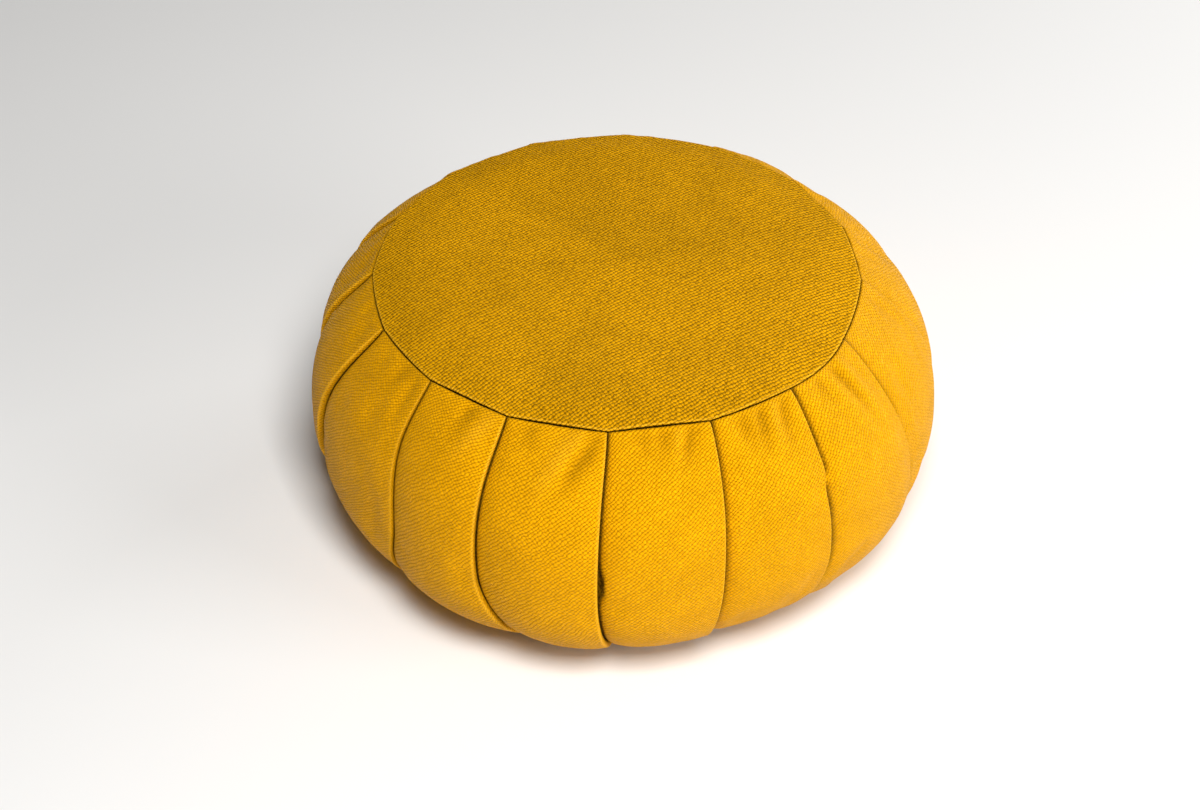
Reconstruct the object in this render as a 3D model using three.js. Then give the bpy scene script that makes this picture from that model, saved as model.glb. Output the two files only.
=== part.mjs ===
// A round floor cushion for sitting in meditation. A pleated band of thick chenille, filled and
// bulging, is sewn between two round panels of the same cloth. All sixteen pleats are folded the same
// way, so that each panel of the band ends in a lip that lies over the start of the next.
//
// Millimetres, +Z up. The origin is the centre of the flat underside, on the axis of the seams. Angles
// go round from the front (-Y) by way of the right (+X).

import * as THREE from "three";

// Driving sizes.
const SEAM_RADIUS = 136.5; // of the seams between the band and the two round panels
const WAIST_RADIUS = 182; // of the band where it is widest, before its panels swell
const WAIST_HEIGHT = 74;
const TOP_SEAM_HEIGHT = 157.5;
const HEM_HEIGHT = 6.5; // of the bottom seam, which the filling lifts off the ground
const CLOTH = 2; // thickness of the chenille
const GAP = 0.4; // between one piece and the next

// How the band leaves the top seam, stands at its waist and runs in to the bottom seam.
const SHOULDER_SLOPE = 41; // degrees below level
const SHOULDER_PULL = 32;
const WAIST_PULL_UP = 50;
const WAIST_PULL_DOWN = 25;
const SKIRT_PULL = 51;
const SKIRT_SLOPE = 34; // degrees above level

// The round panels.
const CROWN = 7; // rise of the top panel's middle over its edge
const CROWN_SHAPE = 3; // over 2, the crown is flatter in the middle
const EDGE_ROLL = 1.2; // how far the top panel turns down into its seam
const EDGE_ROLL_SHAPE = 40; // the higher, the nearer the seam it starts to turn down
const FLAT_SHARE = 0.76; // of the bottom panel's radius, flat on the ground
const EDGE_STAND = 0.8; // how far the top panel's edge stands over the band's

// The pleats, one row each, from the left side round the front. Degrees round the cushion of the lip's
// edge at the top seam, shoulder, waist, skirt and bottom seam; millimetres that the waist stands out
// from the seams there, and that the panel after it swells; the lip's height, as a share of the usual
// one; and millimetres that the seam is drawn in at the middle of the panel after it.
const PLEATS = [
  [-90, -92.5, -98, -101, -101, 34.5, 1.5, 1, 1],
  [-68.5, -71.3, -77, -81, -81, 35, 1, 1, 1],
  [-46.5, -46.5, -45.6, -48, -50, 34.5, 3.5, 0.6, 2],
  [-25, -25.6, -25.2, -21.8, -18.5, 40, 4, 0.9, 2],
  [-2, -2.9, -3.3, -2.4, -0.8, 43, 2, 1, 2.8],
  [21, 19.8, 18.7, 17.8, 18.3, 39, 1.5, 1.3, 1],
  [42.5, 40.5, 39.8, 38.7, 39, 42.5, 3, 0.75, -1.5],
  [64.5, 63, 65.3, 65.8, 66, 43.5, 1, 0.4, 1],
  [87.5, 87, 87, 88, 88.5, 44.5, 1, 0.5, 1.5],
  [109, 109, 110.5, 111, 111, 41.5, 3, 0.8, 2.5],
  [132, 132.5, 133.5, 133.5, 133, 35.5, 3.5, 0.9, 1.5],
  [155.5, 155, 155.5, 156, 156.5, 34.5, 1.5, 1, 1],
  [179, 178, 177, 177, 178, 32.5, 1.5, 0.9, 2],
  [202, 201.5, 200, 199.5, 200, 31.5, 1.5, 1, 2],
  [225, 223.5, 222, 221, 221, 33, 1, 0.9, 1.5],
  [247, 245, 243, 241, 241, 37.5, 1, 1, 1],
].map(([seam, shoulder, waist, skirt, hem, reach, swell, lip, drawn]) => ({
  fold: [seam, shoulder, waist, skirt, hem],
  reach,
  swell,
  lip,
  drawn,
}));
const EVEN_REACH = WAIST_RADIUS - SEAM_RADIUS;

// One panel of the band in section, from where it comes out from under the lip before it to the bottom
// of its own fold. Share of the panel's width; millimetres along it at a seam and at the waist; and
// out from it, as a share of the lip's height.
const SECTION = [
  [0, 0.45, 0.4, -0.02],
  [0.06, 0, 0, 0.25],
  [0.2, 0, 0, 0.7],
  [0.4, 0, 0, 0.95],
  [0.6, 0, 0, 1],
  [0.8, 0, 0, 1],
  [0.96, 0, 0, 1],
  [1, -0.45, 0, 0.75],
  [1, -0.15, -0.7, 0.25],
  [1, 0.15, -9, 0],
].map(([share, atSeam, atWaist, lift]) => ({ share, atSeam, atWaist, lift }));
const LIP_AT_SEAM = 1;
const LIP_AT_WAIST = 2.5;

// Shares of the way from the top seam to the bottom one at which the band has a row of points, and
// shares of the radius at which the round panels do.
const BAND_ROWS = [0, 0.04, 0.1, 0.18, 0.27, 0.36, 0.45, 0.54, 0.63, 0.72, 0.8, 0.87, 0.93, 0.97, 1];
const TOP_ROWS = [0.25, 0.5, 0.72, 0.88, 0.96, 1];
const BOTTOM_ROWS = [FLAT_SHARE, 0.88, 1];
const STEPS_A_PANEL = 5;
const SWELL_SHAPE = 0.7; // under 1, a panel is full almost to its edges

// Soft hollows and rises of the top panel: place from the middle, spread and rise. They fade out
// towards the seam.
const WAVE_FADE = 6;
const TOP_WAVES = [
  [-62, 58, 38, -1.6],
  [-30, -52, 46, -1],
  [58, 20, 52, 0.9],
  [48, -72, 34, -0.7],
  [-84, -6, 34, 0.8],
].map(([x, y, spread, rise]) => ({ x, y, spread, rise }));

const CHENILLE = { color: 0xd9930a, roughness: 0.95, metalness: 0 };

const mix = THREE.MathUtils.lerp;
const radians = THREE.MathUtils.degToRad;
const degrees = THREE.MathUtils.radToDeg;
const smooth = (t) => t * t * (3 - 2 * t);

// The band's outline from the top seam to the waist and from there to the bottom seam.
const shoulderLine = new THREE.CubicBezierCurve(
  new THREE.Vector2(SEAM_RADIUS, TOP_SEAM_HEIGHT),
  new THREE.Vector2(
    SEAM_RADIUS + SHOULDER_PULL * Math.cos(radians(SHOULDER_SLOPE)),
    TOP_SEAM_HEIGHT - SHOULDER_PULL * Math.sin(radians(SHOULDER_SLOPE)),
  ),
  new THREE.Vector2(WAIST_RADIUS, WAIST_HEIGHT + WAIST_PULL_UP),
  new THREE.Vector2(WAIST_RADIUS, WAIST_HEIGHT),
);
const skirtLine = new THREE.CubicBezierCurve(
  new THREE.Vector2(WAIST_RADIUS, WAIST_HEIGHT),
  new THREE.Vector2(WAIST_RADIUS, WAIST_HEIGHT - WAIST_PULL_DOWN),
  new THREE.Vector2(
    SEAM_RADIUS + SKIRT_PULL * Math.cos(radians(SKIRT_SLOPE)),
    HEM_HEIGHT + SKIRT_PULL * Math.sin(radians(SKIRT_SLOPE)),
  ),
  new THREE.Vector2(SEAM_RADIUS, HEM_HEIGHT),
);

// A place on the outline and the direction straight out from it. `down` runs from 0 at the top seam
// to 1 at the bottom one, with the waist half way.
function outline(down) {
  const upper = down < 0.5;
  const line = upper ? shoulderLine : skirtLine;
  const share = upper ? down * 2 : down * 2 - 1;
  const along = line.getTangent(share);
  return { place: line.getPoint(share), out: new THREE.Vector2(-along.y, along.x) };
}

// Zero at the seams, where the cloth is held, and one at the waist, where it is free.
const freedom = (down) => Math.sqrt(Math.max(0, Math.sin(Math.PI * down)));

const pointAt = (angle, radius, height) =>
  new THREE.Vector3(
    radius * Math.sin(radians(angle)),
    -radius * Math.cos(radians(angle)),
    height,
  );

// Each pleat's edge as a smooth line through its five angles.
const foldLines = PLEATS.map(
  ({ fold }) => new THREE.SplineCurve(fold.map((angle) => new THREE.Vector2(angle, 0))),
);

function foldAngle(pleat, down) {
  const turns = Math.floor(pleat / PLEATS.length);
  return foldLines[pleat % PLEATS.length].getPoint(down).x + turns * 360;
}

const panelAngle = (pleat, share, down) =>
  mix(foldAngle(pleat, down), foldAngle(pleat + 1, down), share);

const pleatAfter = (pleat) => PLEATS[(pleat + 1) % PLEATS.length];

// Zero at a panel's two edges and one at its middle.
const middle = (share) => 4 * share * (1 - share);

const seamRadius = (pleat, share) => SEAM_RADIUS - PLEATS[pleat].drawn * middle(share);

// How far a panel stands out from the seams, as a share of the outline's even reach.
const reachShare = (pleat, share) =>
  mix(PLEATS[pleat].reach, pleatAfter(pleat).reach, smooth(share)) / EVEN_REACH;

// A point of one panel's section at one row of the band.
function bandPoint(pleat, { share, atSeam, atWaist, lift }, down) {
  const { place, out } = outline(down);
  const free = freedom(down);
  const lipShare = pleatAfter(pleat).lip;
  const swell = PLEATS[pleat].swell * free * middle(share) ** SWELL_SHAPE;
  const rise = swell + mix(LIP_AT_SEAM, LIP_AT_WAIST, free) * lipShare * lift;
  const along = mix(atSeam, atWaist * Math.min(1, lipShare), free);
  const edge = mix(seamRadius(pleat, share), SEAM_RADIUS, free);
  const reach = (place.x - SEAM_RADIUS) * reachShare(pleat, share);
  return pointAt(
    panelAngle(pleat, share, down) + degrees(along / place.x),
    edge + GAP / 2 + reach + rise * out.x,
    place.y + rise * out.y,
  );
}

// A point of a round face, placed by its angle and its share of the seam's radius.
function roundPoint(angle, edgeRadius, radiusShare, heightAt) {
  const point = pointAt(angle, edgeRadius * radiusShare, 0);
  point.z = heightAt(radiusShare, point.x, point.y);
  return point;
}

function topHeight(radiusShare, x, y) {
  const dome =
    CROWN * (1 - radiusShare ** CROWN_SHAPE) + EDGE_ROLL * (1 - radiusShare ** EDGE_ROLL_SHAPE);
  const loose = 1 - radiusShare ** WAVE_FADE;
  const waves = TOP_WAVES.map(
    (wave) => wave.rise * Math.exp(-((x - wave.x) ** 2 + (y - wave.y) ** 2) / wave.spread ** 2),
  );
  return TOP_SEAM_HEIGHT + EDGE_STAND + dome + loose * waves.reduce((sum, wave) => sum + wave, 0);
}

function bottomHeight(radiusShare) {
  const past = Math.max(0, (radiusShare - FLAT_SHARE) / (1 - FLAT_SHARE));
  return HEM_HEIGHT * past ** 2;
}

const everyPanel = (makePoints) => PLEATS.flatMap((_, pleat) => makePoints(pleat));

// A closed body from rings of equally many points and a point to close each end, listed from the top
// middle outwards and down.
function closedBody(firstPoint, rings, lastPoint) {
  const count = rings[0].length;
  const last = rings.length * count + 1;
  const faces = [];
  for (let k = 0; k < count; k += 1) {
    const here = 1 + k;
    const next = 1 + ((k + 1) % count);
    faces.push(0, here, next);
    for (let down = 0; down < last - 1 - count; down += count) {
      faces.push(here + down, here + down + count, next + down);
      faces.push(next + down, here + down + count, next + down + count);
    }
    faces.push(last, next + last - 1 - count, here + last - 1 - count);
  }
  const body = new THREE.BufferGeometry().setFromPoints([firstPoint, ...rings.flat(), lastPoint]);
  body.setIndex(faces);
  body.computeVertexNormals();
  return body;
}

// A ring of the hollow in which a round panel lies, under the band's edge at that end.
const seatRing = (down, radiusShare, heightAt) =>
  everyPanel((pleat) =>
    SECTION.map(({ share, atSeam }) => {
      const angle = panelAngle(pleat, share, down) + degrees(atSeam / SEAM_RADIUS);
      return roundPoint(angle, seamRadius(pleat, share) + GAP / 2, radiusShare, heightAt);
    }),
  );

// The pleated band with the filling that it holds, hollowed at both ends for the round panels.
function sideBand() {
  const topSeat = (share, x, y) => topHeight(share, x, y) - CLOTH - GAP;
  const bottomSeat = (share) => bottomHeight(share) + CLOTH + GAP;
  const bandRing = (down) =>
    everyPanel((pleat) => SECTION.map((place) => bandPoint(pleat, place, down)));
  return closedBody(
    pointAt(0, 0, topSeat(0, 0, 0)),
    [
      ...TOP_ROWS.map((share) => seatRing(0, share, topSeat)),
      ...BAND_ROWS.map(bandRing),
      ...BOTTOM_ROWS.toReversed().map((share) => seatRing(1, share, bottomSeat)),
    ],
    pointAt(0, 0, bottomSeat(0)),
  );
}

// A round panel: a sheet of cloth between the heights of its outer and inner faces, whose edge
// follows the seam at one end of the band.
function roundPanel(down, rows, upperAt, lowerAt) {
  const ring = (radiusShare, heightAt) =>
    everyPanel((pleat) =>
      Array.from({ length: STEPS_A_PANEL }, (_, step) => {
        const share = step / STEPS_A_PANEL;
        const edge = seamRadius(pleat, share) - GAP / 2;
        return roundPoint(panelAngle(pleat, share, down), edge, radiusShare, heightAt);
      }),
    );
  return closedBody(
    pointAt(0, 0, upperAt(0, 0, 0)),
    [
      ...rows.map((share) => ring(share, upperAt)),
      ...rows.toReversed().map((share) => ring(share, lowerAt)),
    ],
    pointAt(0, 0, lowerAt(0, 0, 0)),
  );
}

const topPanel = () =>
  roundPanel(0, TOP_ROWS, topHeight, (share, x, y) => topHeight(share, x, y) - CLOTH);

const bottomPanel = () =>
  roundPanel(1, BOTTOM_ROWS, (share) => bottomHeight(share) + CLOTH, bottomHeight);

function piece(name, geometry) {
  const mesh = new THREE.Mesh(geometry, new THREE.MeshStandardMaterial(CHENILLE));
  mesh.name = name;
  return mesh;
}

const cushion = new THREE.Group();
cushion.add(
  piece("side_band", sideBand()),
  piece("top_panel", topPanel()),
  piece("bottom_panel", bottomPanel()),
);

export default cushion;
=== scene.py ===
"""A round, pleated meditation cushion in mustard chenille, filled with buckwheat hulls."""

from math import atan2, cos, degrees, exp, hypot, pi, radians, sin, sqrt, tanh

import bmesh
import bpy
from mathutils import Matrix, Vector
from mathutils.geometry import interpolate_bezier


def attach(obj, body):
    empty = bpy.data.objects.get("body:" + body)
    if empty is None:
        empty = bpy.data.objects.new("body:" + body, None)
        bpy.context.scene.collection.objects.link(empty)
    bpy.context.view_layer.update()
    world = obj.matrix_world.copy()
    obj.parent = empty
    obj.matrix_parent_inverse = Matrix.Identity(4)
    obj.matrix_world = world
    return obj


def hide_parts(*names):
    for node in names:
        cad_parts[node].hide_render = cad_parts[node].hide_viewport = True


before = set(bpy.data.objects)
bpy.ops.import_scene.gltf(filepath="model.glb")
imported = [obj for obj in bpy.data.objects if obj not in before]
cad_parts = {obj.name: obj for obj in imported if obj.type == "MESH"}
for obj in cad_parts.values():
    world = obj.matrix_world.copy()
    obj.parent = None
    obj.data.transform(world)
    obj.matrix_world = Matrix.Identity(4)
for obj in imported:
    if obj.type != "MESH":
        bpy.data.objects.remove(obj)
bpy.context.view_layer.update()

# THE VIEW
# The cushion is seen from a little over a metre and a half away, from 39.5 degrees above, with a
# short telephoto lens. The axis of its seams lies a little to the right of the picture's middle.
VIEW_HEIGHT = 39.5  # degrees
VIEW_DISTANCE = 1.638
AIM = Vector((0, 0, 0.074))  # on the axis, at the height of the widest part

lens = bpy.data.cameras.new("view")
lens.lens = 84.9
lens.sensor_width = 36
lens.shift_x = -0.0138
lens.shift_y = -0.0140
camera = bpy.data.objects.new("view", lens)
camera.location = AIM + VIEW_DISTANCE * Vector(
    (0, -cos(radians(VIEW_HEIGHT)), sin(radians(VIEW_HEIGHT)))
)
camera.rotation_euler = (radians(90 - VIEW_HEIGHT), 0, 0)
bpy.context.scene.collection.objects.link(camera)
bpy.context.scene.camera = camera

# THE STUDIO
# A pale floor, a soft lamp high in front, two larger ones low on the right, and a weak one low on the
# left.
FLOOR = 6.0  # metres along each side
FLOOR_DROP = 0.0004  # metres, so that it doesn't flicker through the cushion's underside
LAMP_DISTANCE = 1.9

bpy.context.scene.view_settings.view_transform = "Standard"
sky = bpy.data.worlds.new("sky")
sky.use_nodes = True
sky.node_tree.nodes["Background"].inputs["Color"].default_value = (1, 0.98, 0.96, 1)
sky.node_tree.nodes["Background"].inputs["Strength"].default_value = 0.025
bpy.context.scene.world = sky

ground = bmesh.new()
bmesh.ops.create_grid(ground, x_segments=1, y_segments=1, size=FLOOR / 2)
bmesh.ops.translate(ground, verts=ground.verts, vec=(0, 0, -FLOOR_DROP))
floor_mesh = bpy.data.meshes.new("floor")
ground.to_mesh(floor_mesh)
ground.free()
floor_piece = bpy.data.objects.new("floor", floor_mesh)
bpy.context.scene.collection.objects.link(floor_piece)
paper = bpy.data.materials.new("paper")
paper.use_nodes = True
paper.node_tree.nodes["Principled BSDF"].inputs["Base Color"].default_value = (0.84, 0.84, 0.84, 1)
paper.node_tree.nodes["Principled BSDF"].inputs["Roughness"].default_value = 0.9
floor_mesh.materials.append(paper)


def lamp(name, turn, height, size, watts):
    """A square lamp that shines on the cushion's middle, so many degrees right of the front and up."""
    light = bpy.data.lights.new(name, "AREA")
    light.size = size
    light.energy = watts
    light.color = (1, 0.99, 0.97)
    stand = bpy.data.objects.new(name, light)
    reach = LAMP_DISTANCE * cos(radians(height))
    stand.location = AIM + Vector(
        (
            reach * sin(radians(turn)),
            -reach * cos(radians(turn)),
            LAMP_DISTANCE * sin(radians(height)),
        )
    )
    stand.rotation_euler = (AIM - stand.location).to_track_quat("-Z", "Y").to_euler()
    bpy.context.scene.collection.objects.link(stand)


lamp("lamp_high", 9, 54, 0.6, 42)
lamp("lamp_front", 60, 20, 0.9, 17)
lamp("lamp_right", 128, 18, 0.9, 17)
lamp("lamp_left", -60, 20, 0.9, 1)

# THE SIDE BAND
# One long strip of thick chenille, folded into sixteen knife pleats that all lie the same way. It is
# sewn to the round cloths above and below, and the hulls that it holds round it out between them. Each
# panel ends in a rolled lip that lies over the start of the next.
MM = 0.001
SEAM_RADIUS = 136.5  # millimetres, as all the sizes of the cloth here
WAIST_RADIUS = 182
WAIST_HEIGHT = 74
TOP_SEAM_HEIGHT = 157.5
HEM_HEIGHT = 6.5
SHOULDER_SLOPE, SHOULDER_PULL = 41, 32  # how the band leaves the top seam
WAIST_PULL_UP, WAIST_PULL_DOWN = 50, 25
SKIRT_SLOPE, SKIRT_PULL = 34, 51  # and how it runs in to the bottom one
EVEN_REACH = WAIST_RADIUS - SEAM_RADIUS
LIP_AT_SEAM, LIP_AT_WAIST = 1.1, 2.6
PRESSED_FLAT = 3.5  # how far from a seam the sewing presses the lips flat
LEFT_WHERE_PRESSED = 0.3  # the share of their height that they keep there
SWELL_SHAPE = 0.7
SLACK = 1.2  # how much less the panels swell before the filling presses them out
# How dark the painted shade along the seams is.
SEAM_SHADE = 0.75
TUCK, TUCK_LENGTH = 0.3, 1.8  # how far the band dips into its seams, and over what length
SUNK_AT_SEAM = 0.35  # how deep the cracks are there, as a share
CLOTH_A_PLEAT = 90  # width of the strip that goes into each pleat
PROUD = 0.2  # how far the cloth lies outside the drawn outline
WELD = 0.00002  # metres between points that become one


def smooth(t):
    t = min(1, max(0, t))
    return t * t * (3 - 2 * t)


def mix(a, b, share):
    return a + (b - a) * share


# The pleats from the left side round the front. The lip's edge in degrees round the cushion at the top
# seam, shoulder, waist, skirt and bottom seam. Then how far the waist reaches out from the seams there,
# how far the panel after it swells, the lip's height as a share, how far the seam is drawn in, how much
# more the panel after it dips beside the lip, and the share of the way down at which the lip fades out.
PLEATS = [
    dict(zip(("fold", "reach", "swell", "lip", "drawn", "dip", "until"), row))
    for row in [
        ((-90, -92.5, -98, -101, -101), 34.5, 1.5, 1, 1, 1, 1),
        ((-68.5, -71.3, -77, -81, -81), 35, 1, 1, 1, 1, 1),
        ((-46.5, -46.5, -45.6, -48, -50), 34.5, 3.5, 0.6, 2, 1, 1),
        ((-25, -25.6, -25.2, -21.8, -18.5), 40, 4, 0.9, 2, 1, 1),
        ((-2, -2.9, -3.3, -2.4, -0.8), 43, 2, 1, 2.8, 1.25, 1),
        ((21, 19.8, 18.7, 17.8, 18.3), 39, 1.5, 1.3, 1, 1.9, 1),
        ((42.5, 40.5, 39.8, 38.7, 39), 42.5, 3, 0.8, -1.5, 2.2, 0.5),
        ((64.5, 63, 65.3, 65.8, 66), 43.5, 1, 0.55, 1, 2, 0.2),
        ((87.5, 87, 87, 88, 88.5), 44.5, 1, 0.5, 1.5, 1.5, 0.4),
        ((109, 109, 110.5, 111, 111), 41.5, 3, 0.8, 2.5, 1, 1),
        ((132, 132.5, 133.5, 133.5, 133), 35.5, 3.5, 0.9, 1.5, 1, 1),
        ((155.5, 155, 155.5, 156, 156.5), 34.5, 1.5, 1, 1, 1, 1),
        ((179, 178, 177, 177, 178), 32.5, 1.5, 0.9, 2, 1, 1),
        ((202, 201.5, 200, 199.5, 200), 31.5, 1.5, 1, 2, 1, 1),
        ((225, 223.5, 222, 221, 221), 33, 1, 0.9, 1.5, 1, 1),
        ((247, 245, 243, 241, 241), 37.5, 1, 1, 1, 1, 1),
    ]
]
LEFT_OF_A_FADE = 0.15  # the share of its height that a lip keeps where it has faded out
FADE_LENGTH = 0.18  # the share of the way down over which it fades

# One fold stands open at its middle, and the edge of another steps aside and breaks there. Places and
# lengths are shares of the way down.
GAPING_PLEAT, GAPING_PLACE, GAPING_WIDTH = 4, 0.474, 3.2
GAPING_ABOVE, GAPING_BELOW = 0.042, 0.018
GAPING_END = 0.05  # the share of the panel at which the opening ends
JOG_PLEAT, JOG_PLACE, JOG_ANGLE = 6, 0.306, 0.5
JOG_LENGTH, JOG_REACH = 0.012, 0.09  # of the step itself, and of the curve up to it

# One panel in section, from where it comes out from under the lip before it to the bottom of its own
# fold: share of its width, millimetres along it at a seam and at the waist, its height as a share of
# the lip's, and how deep it lies in the crack between two panels.
FACE_STEPS = 17
FACE_START, FACE_END = 0.12, 0.94
FACE_LIFT = 0.3  # its height at the start, which comes up to the lip's along a curve
FACE_RISE, FACE_RISE_SHAPE = 2.2, 0.8
BESIDE_EDGE = 0.99
CRACK_FLOOR, CRACK_END = 0.01, 0.04  # where the panel leaves the bottom of the crack, and the crack
SECTION = [
    (0, 0.1, -0.3, 0, 3.4),
    (0, 0.35, 0.5, 0, 2.6),
    (0.006, 0.2, 0.5, 0, 1.75),
    (0.015, 0, 0.3, 0, 1.1),
    (0.036, 0, 0, 0.05, 0.6),
    (0.07, 0, 0, 0.2, 0.25),
]
SECTION += [
    (
        mix(FACE_START, FACE_END, step / FACE_STEPS),
        0,
        0,
        mix(FACE_LIFT, 1, min(1, step / FACE_STEPS * FACE_RISE) ** FACE_RISE_SHAPE),
        0,
    )
    for step in range(FACE_STEPS + 1)
]
SECTION += [
    (0.978, -0.1, 0, 1.04, 0),
    (BESIDE_EDGE, -0.2, 0, 1.06, 0),
    (1, -0.5, -0.4, 1.0, 0),
    (1, -0.35, 0.15, 0.8, 0),
    (1, -0.3, 0.3, 0.45, 0),
    (1, -0.3, 0.2, 0, 0.6),
    (1, -0.2, -0.3, 0, 2.2),
    (1, 0.05, -6, 0, 3.6),
]

BAND_STEPS = 36  # even rows of the grid down the band
NEAR_SEAM = 0.2  # of a row: one more row lies this close to each seam
SEAT_SHARES = [0.5, 0.9, 0.98, 0.997]  # rows of the hollows for the round cloths


def curve_through(values, share):
    """A smooth line through evenly spaced values."""
    last = len(values) - 1
    left = min(int(share * last), last - 1)
    before, a, b, after = (values[min(max(left + k, 0), last)] for k in (-1, 0, 1, 2))
    t = share * last - left
    start, end = (b - before) / 2, (after - a) / 2
    return ((2 * (a - b) + start + end) * t + (3 * (b - a) - 2 * start - end)) * t * t + start * t + a


# The band's outline, row by row, from the top seam to the waist and on to the bottom seam.
shoulder_line = (
    Vector((SEAM_RADIUS, TOP_SEAM_HEIGHT)),
    Vector(
        (
            SEAM_RADIUS + SHOULDER_PULL * cos(radians(SHOULDER_SLOPE)),
            TOP_SEAM_HEIGHT - SHOULDER_PULL * sin(radians(SHOULDER_SLOPE)),
        )
    ),
    Vector((WAIST_RADIUS, WAIST_HEIGHT + WAIST_PULL_UP)),
    Vector((WAIST_RADIUS, WAIST_HEIGHT)),
)
skirt_line = (
    Vector((WAIST_RADIUS, WAIST_HEIGHT)),
    Vector((WAIST_RADIUS, WAIST_HEIGHT - WAIST_PULL_DOWN)),
    Vector(
        (
            SEAM_RADIUS + SKIRT_PULL * cos(radians(SKIRT_SLOPE)),
            HEM_HEIGHT + SKIRT_PULL * sin(radians(SKIRT_SLOPE)),
        )
    ),
    Vector((SEAM_RADIUS, HEM_HEIGHT)),
)
profile = interpolate_bezier(*shoulder_line, BAND_STEPS // 2 + 1)
profile += interpolate_bezier(*skirt_line, BAND_STEPS // 2 + 1)[1:]
downs = [step / BAND_STEPS for step in range(BAND_STEPS + 1)]
profile.insert(1, profile[0].lerp(profile[1], NEAR_SEAM))
profile.insert(-1, profile[-1].lerp(profile[-2], NEAR_SEAM))
downs.insert(1, NEAR_SEAM / BAND_STEPS)
downs.insert(-1, 1 - NEAR_SEAM / BAND_STEPS)
LAST = len(profile) - 1
run = [0.0]  # millimetres down the cloth at each row
for above, below in zip(profile, profile[1:]):
    run.append(run[-1] + (below - above).length)


def outward(row):
    """The direction straight out from the outline at a row."""
    line = profile[min(row + 1, LAST)] - profile[max(row - 1, 0)]
    return Vector((-line.y, line.x)).normalized()


def fold_angle(pleat, down):
    """Where a lip's edge runs, in degrees round the cushion."""
    turns, pleat = divmod(pleat, len(PLEATS))
    angle = curve_through(PLEATS[pleat]["fold"], down) + 360 * turns
    if pleat == JOG_PLEAT:
        past = down - JOG_PLACE
        angle -= JOG_ANGLE * tanh(past / JOG_LENGTH) * exp(-((past / JOG_REACH) ** 2))
    return angle


def lip_share(pleat, down):
    """A lip's height as a share, which fades out on the way down some folds."""
    fold = PLEATS[pleat % len(PLEATS)]
    return fold["lip"] * mix(1, LEFT_OF_A_FADE, smooth((down - fold["until"]) / FADE_LENGTH))


def gaping(pleat, down):
    """How far a fold stands open, from 0 to 1."""
    if pleat != GAPING_PLEAT:
        return 0.0
    past = down - GAPING_PLACE
    return exp(-((past / (GAPING_ABOVE if past < 0 else GAPING_BELOW)) ** 2))


def seam_radius(pleat, share):
    """A seam is drawn in a little between two folds."""
    return SEAM_RADIUS - PLEATS[pleat % len(PLEATS)]["drawn"] * 4 * share * (1 - share)


def around(angle, radius, height):
    """A place, from the degrees round the cushion from its front to the right."""
    return Vector((radius * sin(radians(angle)), -radius * cos(radians(angle)), height))


def band_point(pleat, section, row):
    """The place of one point of the band, and of the same point on the cloth laid flat."""
    share, at_seam, at_waist, lift, sunk = section
    down = downs[row]
    panel, after = PLEATS[pleat], PLEATS[(pleat + 1) % len(PLEATS)]
    place, out = profile[row], outward(row)
    free = sqrt(max(0.0, sin(pi * down)))
    middle = 4 * share * (1 - share)
    left, right = fold_angle(pleat, down), fold_angle(pleat + 1, down)
    reach = mix(panel["reach"], after["reach"], smooth(share)) / EVEN_REACH
    nearest = lip_share(pleat + 1 if share == 1 else pleat, down)
    wide = panel["dip"] if CRACK_FLOOR < share < 1 else 1
    to_seam = min(run[row], run[-1] - run[row])
    stand = mix(LEFT_WHERE_PRESSED, 1, smooth(to_seam / PRESSED_FLAT))
    rise = (panel["swell"] - SLACK) * free * middle**SWELL_SHAPE
    rise += stand * mix(LIP_AT_SEAM, LIP_AT_WAIST, free) * lip_share(pleat + 1, down) * lift
    rise -= stand * mix(SUNK_AT_SEAM, 1, free) * nearest**0.5 * wide * sunk
    along = mix(at_seam, at_waist * min(1, nearest), free)
    if share < CRACK_END:
        opened = GAPING_WIDTH * gaping(pleat, down) * (1 - share / GAPING_END)
        along += opened
        rise -= opened
    edge = mix(seam_radius(pleat, share), SEAM_RADIUS, free)
    radius = edge + (place.x - SEAM_RADIUS) * reach + rise * out.x + PROUD
    tuck = TUCK * (exp(-run[row] / TUCK_LENGTH) - exp(-(run[-1] - run[row]) / TUCK_LENGTH))
    height = place.y + rise * out.y - tuck
    width = radians(right - left) * place.x
    turned = sunk + 2 * max(0, 1 - lift) if share == 1 else -sunk
    flat = ((share - 0.5) * width + along + turned + pleat * CLOTH_A_PLEAT, -run[row])
    return around(mix(left, right, share) + degrees(along / place.x), radius, height), flat


# The top cloth's height, which the hollow under it follows.
CROWN, CROWN_SHAPE = 7, 3
EDGE_STAND, EDGE_LOSS = 2.2, 0.77  # how far it stands above the seam, and the share lost at its edge
EDGE_FROM, EDGE_WIDTH = 0.82, 0.18  # where on the radius that starts, and over what share of it
WAVE_FADE = 6  # how late the waves fade towards the edge
TOP_WAVES = [  # place from the middle, spread and rise
    (-62, 58, 38, -1.6),
    (-30, -52, 46, -1),
    (58, 20, 52, 0.9),
    (48, -72, 34, -0.7),
    (-84, -6, 34, 0.8),
]


def top_height(share, x, y):
    waves = sum(
        rise * exp(-((x - wx) ** 2 + (y - wy) ** 2) / spread**2)
        for wx, wy, spread, rise in TOP_WAVES
    )
    stand = EDGE_STAND * (1 - EDGE_LOSS * smooth((share - EDGE_FROM) / EDGE_WIDTH))
    crown = TOP_SEAM_HEIGHT + stand + CROWN * (1 - share**CROWN_SHAPE)
    return crown + (1 - share**WAVE_FADE) * waves


FLAT_SHARE = 0.76  # of the bottom cloth's radius, flat on the floor


def bottom_height(share):
    return HEM_HEIGHT * max(0, (share - FLAT_SHARE) / (1 - FLAT_SHARE)) ** 2


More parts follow.
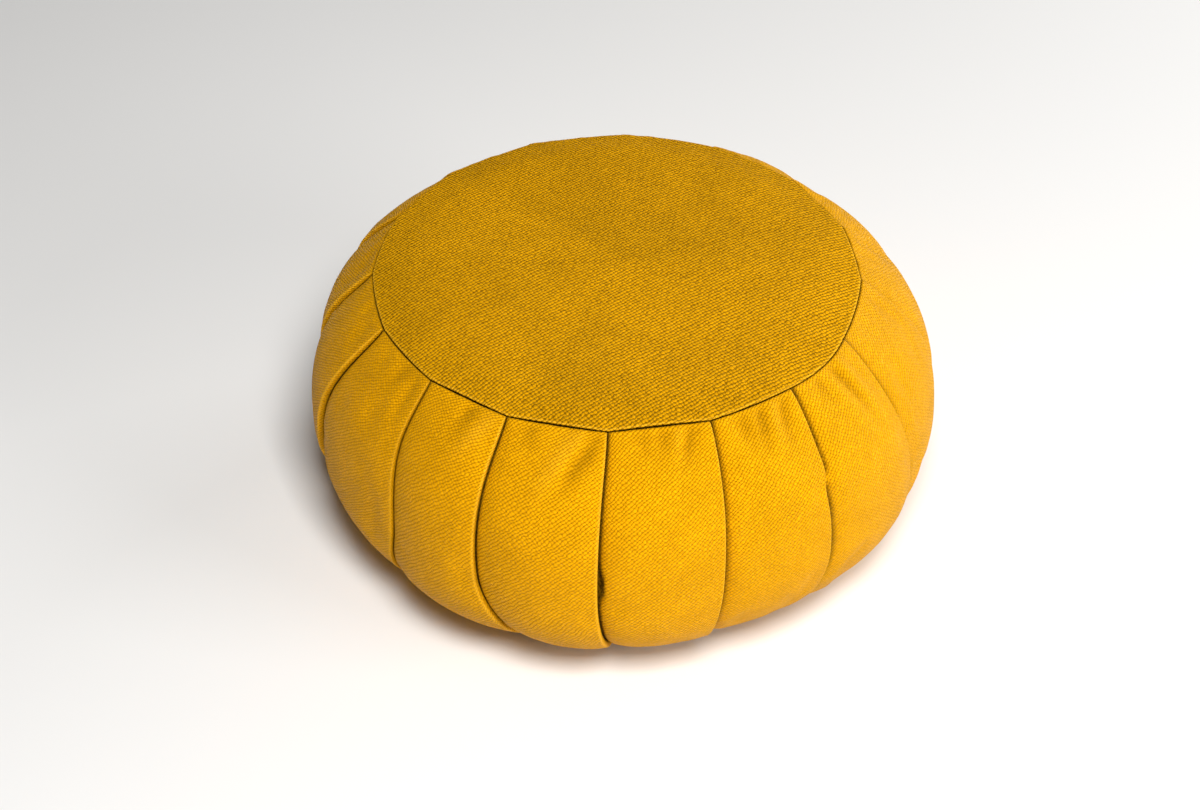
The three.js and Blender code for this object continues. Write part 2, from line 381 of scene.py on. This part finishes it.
CLOTH, SEAT_GAP = 2, 0.5  # the room that a hollow leaves for the round cloth, and the air past it
GROOVE, GROOVE_FROM, GROOVE_WIDTH = 3, 0.94, 0.06  # the groove for its turned edge


def seat_point(top, pleat, section, share):
    """A point of the hollow under a round cloth."""
    angle = mix(
        fold_angle(pleat, 0 if top else 1), fold_angle(pleat + 1, 0 if top else 1), section[0]
    ) + degrees(section[1] / SEAM_RADIUS)
    radius = (seam_radius(pleat, section[0]) + PROUD) * share
    place = around(angle, radius, 0)
    groove = GROOVE * smooth((share - GROOVE_FROM) / GROOVE_WIDTH)
    if top:
        place.z = top_height(share, place.x, place.y) - CLOTH - SEAT_GAP - groove
        flat = (band_point(pleat, section, 0)[1][0], SEAM_RADIUS * (1 - share))
    else:
        place.z = bottom_height(share) + CLOTH + SEAT_GAP + groove
        flat = (band_point(pleat, section, LAST)[1][0], -run[-1] - SEAM_RADIUS * (1 - share))
    return place, flat


# The hulls press the cloth out between its seams and folds. That is worked out first, on an even band
# without the folds' insides.
PRESSED_STEPS = 12  # columns of that band to a panel
PRESSURE = 4
SPARE, SPARE_AT_SEAMS = 0.01, 0.06  # how much wider the cloth is than the shape it is sewn to
MOST = 2.6  # how far a point may move
HELD_COLUMNS, EASED_LENGTH = 1.2, 26  # how far from a fold it is held, and from a seam it is wider
PICTURES = 20


def pressed_out():
    """How far the filling moves the cloth, in millimetres: a list for each row, by pleat and column."""
    columns = PRESSED_STEPS * len(PLEATS)
    even = bmesh.new()
    bmesh.ops.create_grid(even, x_segments=columns, y_segments=LAST, size=0.5)
    held = even.verts.layers.float.new("held")
    eased = even.verts.layers.float.new("eased")
    number = even.verts.layers.int.new("number")
    for vert in even.verts:
        column = round((vert.co.x + 0.5) * columns) % columns
        row = round((0.5 - vert.co.y) * LAST)
        pleat, step = divmod(column, PRESSED_STEPS)
        share = step / PRESSED_STEPS
        vert.co = band_point(pleat, (share, 0, 0, smooth(share * 2), 0), row)[0] * MM
        to_seam = min(run[row], run[-1] - run[row])
        to_fold = min(step, PRESSED_STEPS - step)
        vert[held] = 1 if to_seam == 0 or to_fold == 0 else exp(-((to_fold / HELD_COLUMNS) ** 2))
        vert[eased] = exp(-((to_seam / EASED_LENGTH) ** 2))
        vert[number] = row * columns + column
    bmesh.ops.remove_doubles(even, verts=even.verts, dist=WELD)
    bmesh.ops.recalc_face_normals(even, faces=even.faces)
    mesh = bpy.data.meshes.new("pressed_band")
    even.to_mesh(mesh)
    even.free()
    if mesh.polygons[0].center.dot(mesh.polygons[0].normal) < 0:
        mesh.flip_normals()
    piece = bpy.data.objects.new("pressed_band", mesh)
    bpy.context.scene.collection.objects.link(piece)
    for name in ("held", "eased"):
        group = piece.vertex_groups.new(name=name)
        for index, item in enumerate(mesh.attributes[name].data):
            group.add([index], item.value, "REPLACE")
    cloth = piece.modifiers.new("filled", "CLOTH")
    cloth.settings.quality = 6
    cloth.settings.mass = 0.4
    cloth.settings.tension_stiffness = 25
    cloth.settings.compression_stiffness = 25
    cloth.settings.shear_stiffness = 10
    cloth.settings.bending_stiffness = 0.5
    cloth.settings.use_pressure = True
    cloth.settings.uniform_pressure_force = PRESSURE
    cloth.settings.vertex_group_mass = "held"
    cloth.settings.vertex_group_shrink = "eased"
    cloth.settings.shrink_min = -SPARE
    cloth.settings.shrink_max = -SPARE_AT_SEAMS
    cloth.settings.effector_weights.gravity = 0
    cloth.collision_settings.use_collision = False
    for picture in range(1, PICTURES + 1):
        bpy.context.scene.frame_set(picture)
    filled = piece.evaluated_get(bpy.context.evaluated_depsgraph_get()).data
    steps = {}
    for item, before, after in zip(mesh.attributes["number"].data, mesh.vertices, filled.vertices):
        step = (after.co - before.co) / MM
        steps[item.value] = step * min(1, MOST / max(step.length, 1e-9))
    bpy.context.scene.frame_set(1)
    bpy.data.objects.remove(piece)
    bpy.data.meshes.remove(mesh)
    return [
        [
            [
                steps[row * columns + (pleat * PRESSED_STEPS + step) % columns]
                for step in range(PRESSED_STEPS + 1)
            ]
            for pleat in range(len(PLEATS))
        ]
        for row in range(LAST + 1)
    ]


# Creases and soft ridges that the sewing pulls into the panels: the pleat before the panel, the place
# in millimetres right of the panel's middle and down from the top seam, half the width and half the
# length, how far its lower end leans to the right in degrees, and its height.
CREASES = [
    (4, 16, 9, 3.6, 13, -14, -2.0),
    (4, 9, 6, 3.2, 12, -10, 1.1),
    (4, 2, 6, 3.8, 12, -4, -1.5),
    (4, -9, 6, 3.8, 10, 8, -1.0),
    (5, 17, 10, 3.4, 15, -10, -1.6),
    (5, 10, 8, 3.2, 14, -10, 1.2),
    (5, 3, 9, 3.6, 15, -8, -1.9),
    (5, -8, 8, 3.8, 12, 2, -1.5),
    (3, 17, 20, 3.8, 17, -22, -2.2),
    (3, 8, 16, 5.0, 20, -24, 1.2),
    (3, -13, 6, 4.2, 10, 10, -1.2),
    (2, 16, 14, 4.2, 16, -20, 1.4),
    (2, 5, 8, 4.0, 12, -10, -1.3),
    (1, 8, 9, 4.0, 14, -12, -1.2),
    (6, 13, 16, 3.4, 20, 10, 1.4),
    (6, 7, 18, 3.4, 20, 14, -1.8),
    (6, 1, 21, 3.6, 20, 18, 1.1),
    (6, -9, 7, 3.6, 12, 4, -1.3),
]
CREASE_START = 4  # how far below the seam they are at their full height


def creased(pleat, flat):
    """How far the cloth stands out in its creases there, in millimetres."""
    across, down = flat[0] - pleat * CLOTH_A_PLEAT, -flat[1]
    rise = 0
    for panel, right, below, width, length, lean, height in CREASES:
        if panel == pleat:
            x, y = across - right, down - below
            along = x * sin(radians(lean)) + y * cos(radians(lean))
            off = x * cos(radians(lean)) - y * sin(radians(lean))
            rise += height * exp(-((off / width) ** 2) - (along / length) ** 2)
    return rise * smooth(down / CREASE_START)


LINE_AT_LIP = 1.3  # how dark the painted shade in the line beside a lip is, for each share of the lip's height
PAINTED_HIGHLIGHT_LIFT = 0.7  # how high on the lip's edge its painted highlight is at full strength
PAINTED_HIGHLIGHT_BESIDE = 0.4  # how light the painted highlight is just inside the lip's edge
OPEN_FROM = 0.25  # how far a fold gapes before its inside is painted dark as shade
DARK_DEPTH, DARK_CURVE = 1.5, 2.2  # how deep a crack is where its painted shade is full, and the curve down to that
CREASE_SHADE = -0.23  # painted highlight on a crease's ridge and painted shade in its valley, for each millimetre that it stands out or sinks
CREASE_LIGHTEST, CREASE_DARKEST = -0.35, 0.42


def shade(section, pleat, down):
    """How dark the painted shade in the crack is there, or, below 0, how light the painted highlight on
    the lip's edge is.
    """
    share, lift, sunk = section[0], section[3], section[4]
    beside = pleat + 1 if share > 0.5 else pleat
    near = min(1, lip_share(beside, down) * LINE_AT_LIP)
    if beside == JOG_PLEAT:
        near *= 1 - exp(-(((down - JOG_PLACE) / JOG_LENGTH) ** 2))
    # Painted highlight along a lip's rolled edge, and a weaker one just inside it.
    if share == 1 and lift > PAINTED_HIGHLIGHT_LIFT:
        return -near
    if share == BESIDE_EDGE:
        return -PAINTED_HIGHLIGHT_BESIDE * near
    # Painted shade inside the gaping fold and deep in the cracks beside the lips.
    if share < CRACK_END and gaping(pleat, down) > OPEN_FROM:
        return 1.0
    if share < 0.5:
        sunk *= PLEATS[pleat]["dip"]
    return near * min(1, sunk / DARK_DEPTH) ** DARK_CURVE


# A grid as wide as the strip is wrapped round the cushion. Its first and last rows close under the
# round cloths.
pressed = pressed_out()
columns = len(SECTION) * len(PLEATS)
rows = LAST + 2 * len(SEAT_SHARES)
strip = bmesh.new()
bmesh.ops.create_grid(strip, x_segments=columns, y_segments=rows, size=0.5)
cloth_map = strip.loops.layers.uv.new("cloth")
shades = strip.verts.layers.float.new("shade")
flats = {}
for vert in strip.verts:
    column = round((vert.co.x + 0.5) * columns) % columns
    row = round((0.5 - vert.co.y) * rows)
    pleat, step = divmod(column, len(SECTION))
    band_row = row - len(SEAT_SHARES)
    if band_row < 0:
        place, flat = seat_point(True, pleat, SECTION[step], SEAT_SHARES[row])
    elif band_row > LAST:
        place, flat = seat_point(False, pleat, SECTION[step], SEAT_SHARES[rows - row])
    else:
        place, flat = band_point(pleat, SECTION[step], band_row)
        out = outward(band_row)
        spoke = Vector((place.x, place.y, 0)).normalized()
        place += curve_through(pressed[band_row][pleat], SECTION[step][0])
        place += (spoke * out.x + Vector((0, 0, out.y))) * creased(pleat, flat)
    vert.co = place * MM
    if 0 < band_row < LAST:
        # Painted shade in the creases' valleys and painted highlight on their ridges.
        painted_crease_light = CREASE_SHADE * creased(pleat, flat)
        painted_crease_light = max(CREASE_LIGHTEST, min(CREASE_DARKEST, painted_crease_light))
        dark = shade(SECTION[step], pleat, downs[band_row]) + painted_crease_light
        vert[shades] = max(-1, min(1, dark))
    else:
        # Painted shade along the seams and in the hollows under the round cloths.
        vert[shades] = SEAM_SHADE
    flats[vert] = flat
for face in strip.faces:
    face.smooth = True
    for loop in face.loops:
        loop[cloth_map].uv = [c * MM for c in flats[loop.vert]]
bmesh.ops.remove_doubles(strip, verts=strip.verts, dist=WELD)
bmesh.ops.recalc_face_normals(strip, faces=strip.faces)
band_mesh = bpy.data.meshes.new("side_band_cloth")
strip.to_mesh(band_mesh)
strip.free()
band = bpy.data.objects.new("side_band_cloth", band_mesh)
bpy.context.scene.collection.objects.link(band)
finer = band.modifiers.new("finer", "SUBSURF")
finer.levels = finer.render_levels = 1
smoothed = bpy.data.meshes.new_from_object(
    band.evaluated_get(bpy.context.evaluated_depsgraph_get())
)
band.modifiers.remove(finer)
band.data = smoothed
bpy.data.meshes.remove(band_mesh)
band_mesh = smoothed
band_mesh.name = "side_band_cloth"

# Each hollow is closed in its middle once the cloth is smooth.
closed = bmesh.new()
closed.from_mesh(band_mesh)
rims = [edge for edge in closed.edges if edge.is_boundary]
for top in (True, False):
    rim = [edge for edge in rims if (edge.verts[0].co.z > WAIST_HEIGHT * MM) == top]
    grown = bmesh.ops.extrude_edge_only(closed, edges=rim)["geom"]
    inner = [part for part in grown if isinstance(part, bmesh.types.BMVert)]
    middle = sum((vert.co for vert in inner), Vector()) / len(inner)
    bmesh.ops.pointmerge(closed, verts=inner, merge_co=middle)
for face in closed.faces:
    face.smooth = True
bmesh.ops.recalc_face_normals(closed, faces=closed.faces)
closed.to_mesh(band_mesh)
closed.free()


class Finish:
    """The nodes of one material."""

    def __init__(self, name):
        self.material = bpy.data.materials.new(name)
        self.material.use_nodes = True
        self.tree = self.material.node_tree
        self.tree.nodes.clear()

    def add(self, kind, settings=None, sockets=None, out=0):
        """A node of a kind, with its settings and its sockets' values, read at one of its outputs."""
        node = self.tree.nodes.new(kind)
        for name, value in (settings or {}).items():
            setattr(node, name, value)
        for name, value in (sockets or {}).items():
            if isinstance(value, Reading):
                self.tree.links.new(value.socket, node.inputs[name])
            else:
                node.inputs[name].default_value = value
        return Reading(self, node.outputs[out]) if len(node.outputs) else node

    def colour(self, factor, first, second, how="MIX"):
        return self.add(
            "ShaderNodeMix",
            {"data_type": "RGBA", "blend_type": how},
            {0: factor, 6: first, 7: second},
            2,
        )


class Reading:
    """A node's output. Arithmetic on it adds Math nodes."""

    def __init__(self, finish, socket):
        self.finish = finish
        self.socket = socket

    def work(self, operation, *values, clamp=False):
        settings = {"operation": operation, "use_clamp": clamp}
        return self.finish.add("ShaderNodeMath", settings, dict(enumerate((self, *values))))

    def turned(self, operation, value):
        settings = {"operation": operation}
        return self.finish.add("ShaderNodeMath", settings, {0: value, 1: self})

    def __add__(self, value):
        return self.work("ADD", value)

    __radd__ = __add__

    def __sub__(self, value):
        return self.work("SUBTRACT", value)

    def __rsub__(self, value):
        return self.turned("SUBTRACT", value)

    def __mul__(self, value):
        return self.work("MULTIPLY", value)

    __rmul__ = __mul__

    def __truediv__(self, value):
        return self.work("DIVIDE", value)

    def __pow__(self, value):
        return self.work("POWER", value)


# The chenille: short, fat floats in rows, each half a float on from the row below it, so that they run
# together along slanting lines. Every other row is a little lower, no two floats are the same tone, and
# painted shade darkens the lower rows and the gaps between the floats.
def chenille(name, turn, pitch, row_pitch, relief, lightness, gloss):
    """The cushion's cloth, its rows turned by some degrees on the piece's map.

    `pitch` is a float's width and `row_pitch` a row's height, in millimetres. `relief` is how much the
    floats stand up, how dark the painted shade between them is, and how much their tone differs.
    `lightness` darkens the whole cloth as painted shade; it is less on the top cloth, whose pile leans
    away from the viewer and looks darker in this light. `gloss` is how much of a lamp the pile's tips
    mirror."""
    finish = Finish(name)
    flat = finish.add("ShaderNodeUVMap", {"uv_map": "cloth"})
    drift = finish.add("ShaderNodeTexNoise", {}, {"Vector": flat, "Scale": 70.0, "Detail": 2.0}, 1)
    drift = finish.add("ShaderNodeVectorMath", {"operation": "SUBTRACT"}, {0: drift, 1: (0.5,) * 3})
    drift = finish.add("ShaderNodeVectorMath", {"operation": "SCALE"}, {0: drift, "Scale": 0.0022})
    laid = finish.add("ShaderNodeVectorMath", {"operation": "ADD"}, {0: flat, 1: drift})
    stray = finish.add("ShaderNodeTexNoise", {}, {"Vector": flat, "Scale": 330.0, "Detail": 1.0}, 1)
    stray = finish.add("ShaderNodeVectorMath", {"operation": "SUBTRACT"}, {0: stray, 1: (0.5,) * 3})
    stray = finish.add("ShaderNodeVectorMath", {"operation": "SCALE"}, {0: stray, "Scale": 0.0018})
    laid = finish.add("ShaderNodeVectorMath", {"operation": "ADD"}, {0: laid, 1: stray})
    turned = finish.add(
        "ShaderNodeVectorRotate",
        {"rotation_type": "Z_AXIS"},
        {"Vector": laid, "Angle": radians(-turn)},
    )
    parts = finish.add("ShaderNodeSeparateXYZ", {}, {0: turned})
    across = parts / (pitch * MM)
    up = Reading(finish, parts.socket.node.outputs[1]) / (2 * row_pitch * MM)

    # Cells between the lines that slant up to the right and those that slant down.
    rising, falling = across + up, across - up
    cell_rising, cell_falling = rising.work("FLOOR"), falling.work("FLOOR")
    length = (rising - cell_rising - 0.5) * 2
    side = (falling - cell_falling - 0.5) * 2
    number = finish.add("ShaderNodeCombineXYZ", {}, {0: cell_rising, 1: cell_falling, 2: turn})
    chance = finish.add("ShaderNodeTexWhiteNoise", {"noise_dimensions": "3D"}, {"Vector": number})
    odd = ((cell_rising - cell_falling) * 0.5).work("FRACT") * 2

    # A float stands up along its middle and dips under its neighbours at both ends.
    body = 1 - side * side * 0.9 - length * length * 0.52
    body = body.work("MAXIMUM", 0.0) ** 0.6
    fuzz = finish.add("ShaderNodeTexNoise", {}, {"Vector": flat, "Scale": 2600.0, "Detail": 3.0})
    tufts = finish.add("ShaderNodeTexNoise", {}, {"Vector": flat, "Scale": 420.0, "Detail": 2.0})
    cloudy = finish.add("ShaderNodeTexNoise", {}, {"Vector": flat, "Scale": 42.0, "Detail": 3.0})
    crushed = finish.add("ShaderNodeTexNoise", {}, {"Vector": flat, "Scale": 12.0, "Detail": 2.0})

    # The dark end is painted shade in the gaps between floats, deepened by relief; lightness darkens
    # both ends as painted shade.
    dark = (0.4 * lightness / relief, 0.163 * lightness / relief, 0.0001, 1)
    light = (0.89 * lightness * relief**0.2, 0.412 * lightness * relief**0.2, 0.0015, 1)
    # Near-black colour of the painted shade in the cracks, the seams, the creases' valleys and the
    # gaping fold.
    fold = (0.045, 0.018, 0.0002, 1)
    # Colour of the painted highlight on the lips' edges, the creases' ridges and the top cloth's rim.
    painted_highlight = (1.0, 0.53, 0.03, 1)
    # Random tone of each float, and painted shade where floats dip and in the lower rows.
    pile = body + chance * 0.26 + (tufts - 0.5) * 0.45 + (fuzz - 0.5) * 0.4 - odd * 0.14
    pile = (pile - 0.7) * relief + 0.6
    base = finish.colour(pile.work("MULTIPLY", 1.0, clamp=True), dark, light)
    tone = 1 + (cloudy - 0.5) * 0.3 + (crushed - 0.5) * (0.9 * relief - 0.65)
    tone = finish.add("ShaderNodeCombineXYZ", {}, {0: tone, 1: tone, 2: tone})
    base = finish.colour(1.0, base, tone, "MULTIPLY")
    # The shade attribute, broken up by noise: above 0 painted shade, below 0 painted highlight.
    shaded = finish.add("ShaderNodeAttribute", {"attribute_name": "shade"}, {}, 2)
    shaded = shaded * (tufts * 0.9 + 0.55)
    # Painted highlight where the shade attribute is below 0.
    base = finish.colour((0 - shaded).work("MULTIPLY", 0.45, clamp=True), base, painted_highlight)
    # Painted shade where the shade attribute is above 0.
    base = finish.colour(shaded.work("MULTIPLY", 0.92, clamp=True), base, fold)
    height = body + chance * 0.4 + (fuzz - 0.5) * 0.4 + (tufts - 0.5) * 0.6 - odd * 0.35
    bump = finish.add(
        "ShaderNodeBump", {}, {"Height": height, "Distance": 0.0009 * relief, "Strength": 0.85}
    )
    shader = finish.add(
        "ShaderNodeBsdfPrincipled",
        {},
        {
            "Base Color": base,
            "Roughness": 0.52,
            "Normal": bump,
            "Specular IOR Level": gloss,
            "Specular Tint": (1.0, 0.75, 0.15, 1),
            "Sheen Weight": 0.25,
            "Sheen Roughness": 0.35,
            "Sheen Tint": (1.0, 0.58, 0.03, 1),
        },
    )
    finish.add("ShaderNodeOutputMaterial", {}, {"Surface": shader})
    return finish.material


band_mesh.materials.append(chenille("band_chenille", 0, 2.7, 1.2, 0.8, 0.96, 0.07))
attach(band, "root")
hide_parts("side_band")

# THE TOP CLOTH
# A round piece of the same chenille, sewn to the band all round. It lies almost flat over the hulls, and
# its edge rolls down into the seam.
ROUND_STEPS = 64
ROLL = 1.1  # millimetres from the seam at which the edge starts to turn down
THICKNESS = 0.0012


def seam_at(angle, top):
    """The seam's radius in a direction, given in degrees round the cushion."""
    down = 0 if top else 1
    start = fold_angle(0, down)
    angle = start + (angle - start) % 360
    for pleat in range(len(PLEATS)):
        left, right = fold_angle(pleat, down), fold_angle(pleat + 1, down)
        if angle < right:
            return seam_radius(pleat, (angle - left) / (right - left))
    return SEAM_RADIUS


def round_cloth(name, top, height_at, turned):
    """A disc of cloth. Its edge is turned into the seam in steps: how far out, how far down, and how
    dark its painted shade is there, or, below 0, how light its painted highlight.
    """
    disc = bmesh.new()
    bmesh.ops.create_grid(disc, x_segments=ROUND_STEPS, y_segments=ROUND_STEPS, size=1)
    flat = disc.verts.layers.float_vector.new("flat")
    cloth_map = disc.loops.layers.uv.new("cloth")
    for vert in disc.verts:
        a, b = vert.co.x, vert.co.y
        across, away = a * sqrt(1 - b * b / 2), b * sqrt(1 - a * a / 2)
        angle = degrees(atan2(across, -away))
        radius = hypot(across, away) * (seam_at(angle, top) - ROLL)
        vert.co = around(angle, radius, 0)
        vert[flat] = vert.co
        vert.co.z = height_at(radius / SEAM_RADIUS, vert.co.x, vert.co.y)
    rim = [edge for edge in disc.edges if edge.is_boundary]
    shades = disc.verts.layers.float.new("shade")
    for out, down, dark in turned:
        grown = bmesh.ops.extrude_edge_only(disc, edges=rim)["geom"]
        for vert in (part for part in grown if isinstance(part, bmesh.types.BMVert)):
            spoke = Vector((vert.co.x, vert.co.y, 0)).normalized()
            vert.co += spoke * out - Vector((0, 0, down))
            vert[flat] += spoke * hypot(out, down)
            vert[shades] = dark
        rim = [part for part in grown if isinstance(part, bmesh.types.BMEdge)]
    for face in disc.faces:
        face.smooth = True
        for loop in face.loops:
            loop[cloth_map].uv = loop.vert[flat].xy * MM
    disc.verts.layers.float_vector.remove(flat)
    bmesh.ops.scale(disc, vec=(MM, MM, MM), verts=disc.verts)
    bmesh.ops.recalc_face_normals(disc, faces=disc.faces)
    mesh = bpy.data.meshes.new(name)
    disc.to_mesh(mesh)
    disc.free()
    return mesh


def thicken(piece):
    """Give a round cloth its thickness, inwards from its face."""
    body = piece.modifiers.new("body", "SOLIDIFY")
    body.thickness = THICKNESS
    body.offset = -1


# The top cloth's edge: a painted highlight on its rolled rim, then painted shade deepening into the
# seam.
TOP_ROLL = [
    (0.45, 0.12, -0.7),
    (0.35, 0.2, -1),
    (0.22, 0.26, -0.7),
    (0.12, 0.3, 0.3),
    (0, 0.35, 0.9),
    (-0.1, 0.4, 1),
]
top_mesh = round_cloth("top_cloth", True, top_height, TOP_ROLL)
top_cloth = bpy.data.objects.new("top_cloth", top_mesh)
bpy.context.scene.collection.objects.link(top_cloth)
if top_mesh.polygons[0].normal.z < 0:
    top_mesh.flip_normals()
thicken(top_cloth)
# The top cloth's copy of the chenille is painted darker as shade than the band's, with deeper painted
# shade between its floats.
top_mesh.materials.append(chenille("panel_chenille", -8.5, 2.9, 1.45, 1.4, 0.745, 0.02))
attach(top_cloth, "root")
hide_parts("top_panel")

# THE BOTTOM CLOTH
# A round piece of chenille like the top one, sewn to the band's lower edge. The cushion lies on it, and
# the hulls' weight presses it flat.
# The bottom cloth's edge, with painted shade deepening into its seam.
BOTTOM_ROLL = [(0.6, -0.3, 0), (0.5, -0.6, 0.3), (0.2, -0.8, 1)]
bottom_mesh = round_cloth("bottom_cloth", False, lambda share, x, y: bottom_height(share), BOTTOM_ROLL)
bottom_cloth = bpy.data.objects.new("bottom_cloth", bottom_mesh)
bpy.context.scene.collection.objects.link(bottom_cloth)
if bottom_mesh.polygons[0].normal.z > 0:
    bottom_mesh.flip_normals()
thicken(bottom_cloth)
bottom_mesh.materials.append(top_mesh.materials[0])
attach(bottom_cloth, "root")
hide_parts("bottom_panel")
